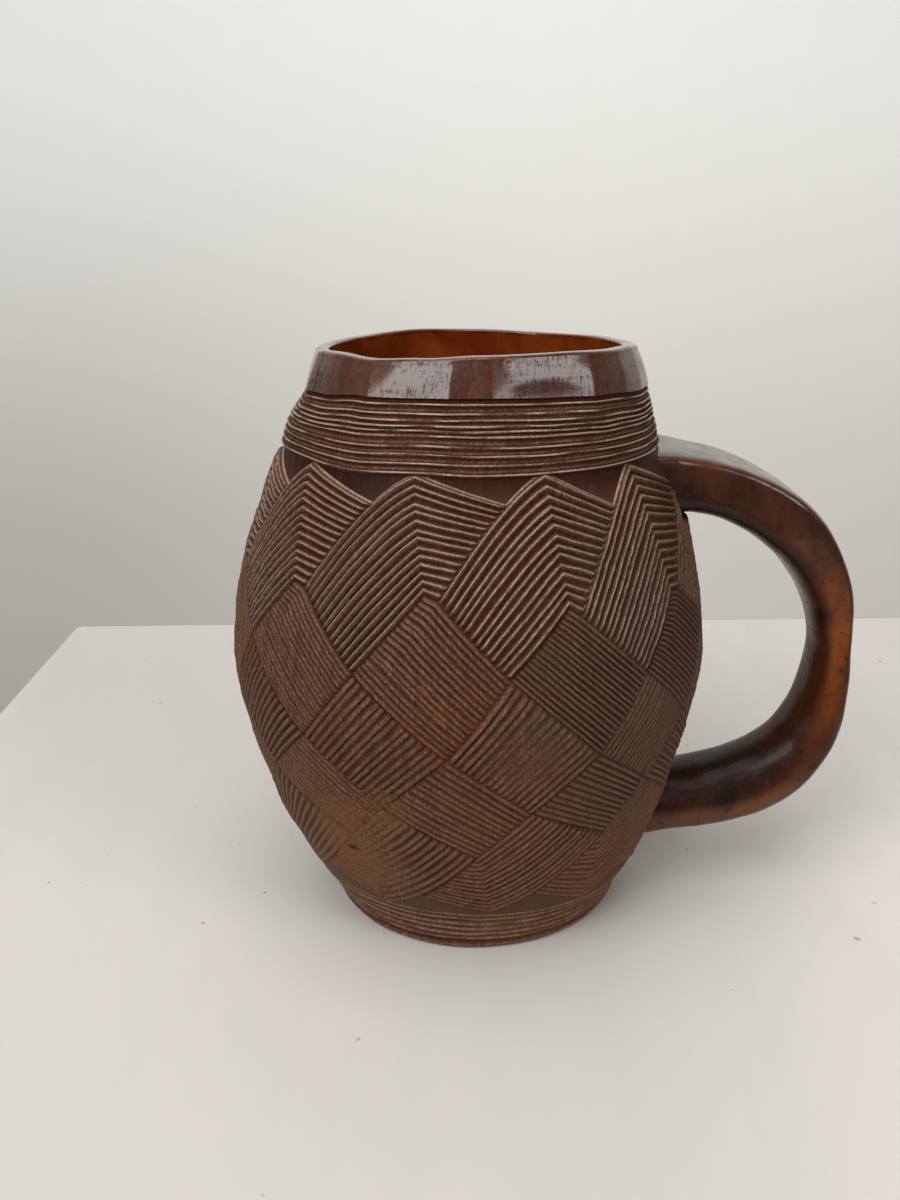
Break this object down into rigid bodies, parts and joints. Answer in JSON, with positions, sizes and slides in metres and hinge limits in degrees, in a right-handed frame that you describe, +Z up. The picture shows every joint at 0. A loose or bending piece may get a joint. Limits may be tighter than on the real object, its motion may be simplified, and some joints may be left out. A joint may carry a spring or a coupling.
{
  "type": "carved wooden cup",
  "caption": "Barrel-shaped carved wooden drinking cup with a loop handle; a carved plait of crossing straps covers the body between a ringed neck and a ringed foot.",
  "frame": {"origin": "centre of the face that the cup rests on, on the vessel's axis", "axes": "+Z up along the vessel's axis, +X from the axis towards the handle"},
  "size_m": [0.1537, 0.1156, 0.14],
  "materials": {
    "carved_wood": "carved dark red-brown wood with worn, dusty ridges",
    "ground_wood": "dark oiled wood, warmer inside the cup",
    "polished_wood": "hand-polished dark red-brown wood, glossy"
  },
  "bodies": {
    "root": {"ringed_foot": "carved_wood", "bowl_wall": "ground_wood", "shoulder_wall": "ground_wood", "lower_folds": "carved_wood", "strap_course_low": "carved_wood", "strap_course_middle": "carved_wood", "strap_course_high": "carved_wood", "upper_folds": "carved_wood", "ringed_neck": "carved_wood", "rim_collar": "polished_wood", "handle": "polished_wood"}
  },
  "joints": []
}
